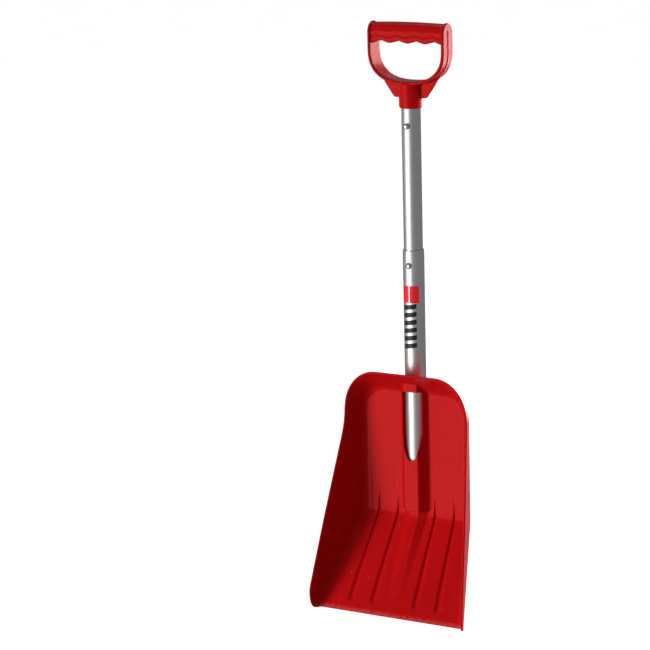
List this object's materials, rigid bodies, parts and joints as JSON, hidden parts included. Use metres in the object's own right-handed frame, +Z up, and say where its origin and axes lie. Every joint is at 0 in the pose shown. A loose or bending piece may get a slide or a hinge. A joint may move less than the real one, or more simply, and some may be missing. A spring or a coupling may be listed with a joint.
{
  "type": "avalanche shovel",
  "caption": "Telescoping avalanche shovel: red moulded scoop blade with ribbed floor and shaft socket, two-part aluminium tube shaft with snap buttons, red D-handle.",
  "frame": {"origin": "middle of the flat land along the blade's cutting edge", "axes": "+Z up along the shaft towards the handle; -Y is the hollow front of the blade; X runs across the blade, which is the same on both sides"},
  "size_m": [0.2318, 0.1202, 0.7846],
  "materials": {
    "red_plastic": "glossy moulded",
    "tube_alloy": "drawn and lightly brushed lengthwise",
    "button_steel": "bright plated",
    "spring_steel": "tempered strip",
    "plug_plastic": "matte moulded"
  },
  "bodies": {
    "blade": {"blade": "red_plastic"},
    "lower_shaft": {"lower_tube": "tube_alloy", "tube_plug": "plug_plastic", "blade_spring": "spring_steel"},
    "upper_shaft": {"upper_tube": "tube_alloy", "d_handle": "red_plastic", "handle_rivet": "tube_alloy", "length_spring": "spring_steel", "stow_spring": "spring_steel"},
    "length_button": {"length_button": "button_steel"},
    "stow_button": {"stow_button": "button_steel"},
    "blade_button": {"blade_button": "button_steel"}
  },
  "joints": [
    {"name": "shaft_lift", "type": "slide", "parent": "blade", "child": "lower_shaft", "axis": [0, 0, 1], "range_m": [0, 0.165], "deforming": ["blade_button", "blade_spring"]},
    {"name": "telescope", "type": "slide", "parent": "lower_shaft", "child": "upper_shaft", "axis": [0, 0, 1], "range_m": [-0.185, 0], "deforming": ["length_button", "length_spring", "stow_button", "stow_spring"]},
    {"name": "length_button_press", "type": "slide", "parent": "upper_shaft", "child": "length_button", "axis": [0, 1, 0], "range_m": [0, 0.0046], "stiffness_N_per_m": 1500, "springref_m": -0.002, "deforming": ["length_spring"]},
    {"name": "stow_button_press", "type": "slide", "parent": "upper_shaft", "child": "stow_button", "axis": [0, 1, 0], "range_m": [0, 0.0046], "stiffness_N_per_m": 1500, "springref_m": -0.002, "deforming": ["stow_spring"]},
    {"name": "blade_button_press", "type": "slide", "parent": "lower_shaft", "child": "blade_button", "axis": [0, -1, 0], "range_m": [0, 0.0052], "stiffness_N_per_m": 1500, "springref_m": -0.002, "deforming": ["blade_spring"]}
  ]
}
